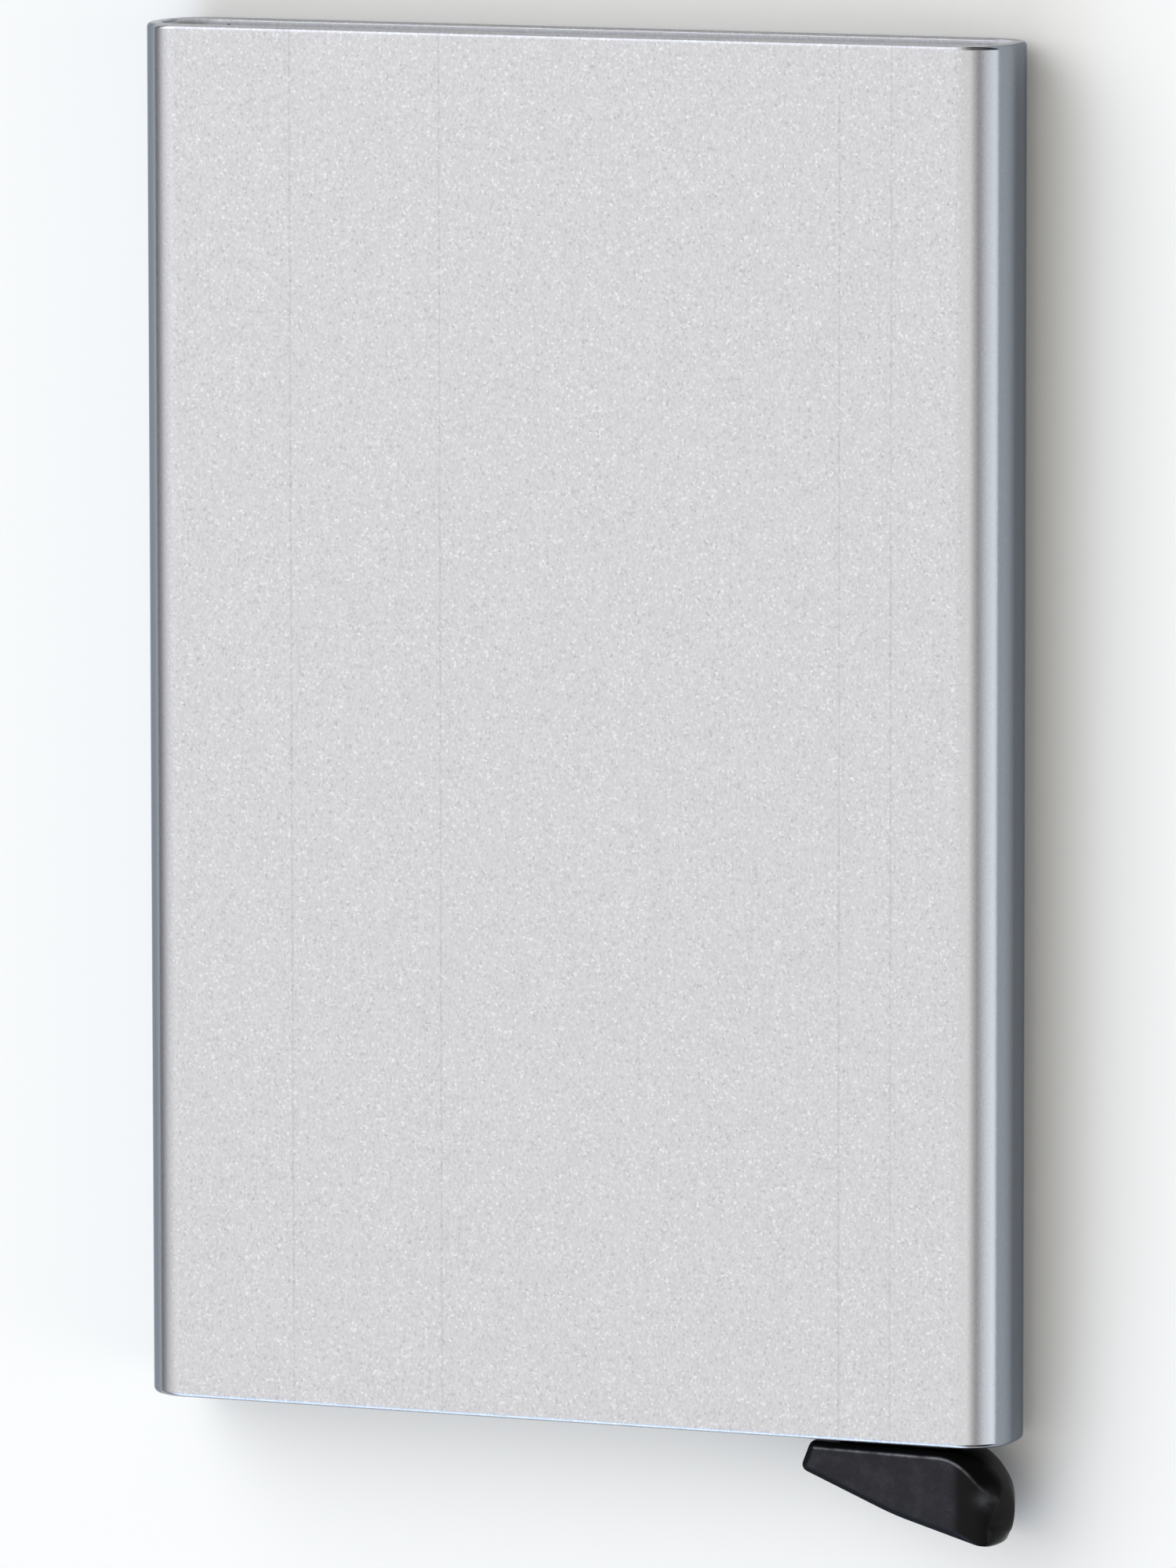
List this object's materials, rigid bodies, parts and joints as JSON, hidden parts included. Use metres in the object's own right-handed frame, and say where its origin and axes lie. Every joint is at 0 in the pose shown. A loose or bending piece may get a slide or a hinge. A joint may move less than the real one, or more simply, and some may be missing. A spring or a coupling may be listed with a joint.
{
  "type": "card holder",
  "caption": "Slim aluminium card sleeve with a turning finger lever at its foot, whose stepped arm fans the cards out of the mouth.",
  "frame": {"origin": "middle of the sleeve's flat back face, on which the holder lies", "axes": "+X to the right, +Y along the sleeve to its open mouth, +Z out of the front face"},
  "size_m": [0.063, 0.1021, 0.008],
  "materials": {
    "anodised": "bead blasted, clear anodised",
    "moulding": "moulded, fine matte",
    "pin": "ground steel",
    "carrier": "extruded, matte",
    "foam": "closed-cell foam",
    "pile": "short dense fibre pile"
  },
  "bodies": {
    "sleeve": {"housing": "anodised", "foot_bar": "moulding", "pivot_block": "moulding", "pivot_pin": "pin", "left_strip_carrier": "carrier", "right_strip_carrier": "carrier", "left_foam_core": "foam", "right_foam_core": "foam", "left_pile_strip": "pile", "right_pile_strip": "pile"},
    "lever": {"lever": "moulding"}
  },
  "joints": [
    {"name": "lever_turn", "type": "hinge", "parent": "sleeve", "child": "lever", "pos_m": [0.0239, -0.0431, 0.004], "axis": [0, 0, -1], "range_deg": [0, 70]}
  ]
}
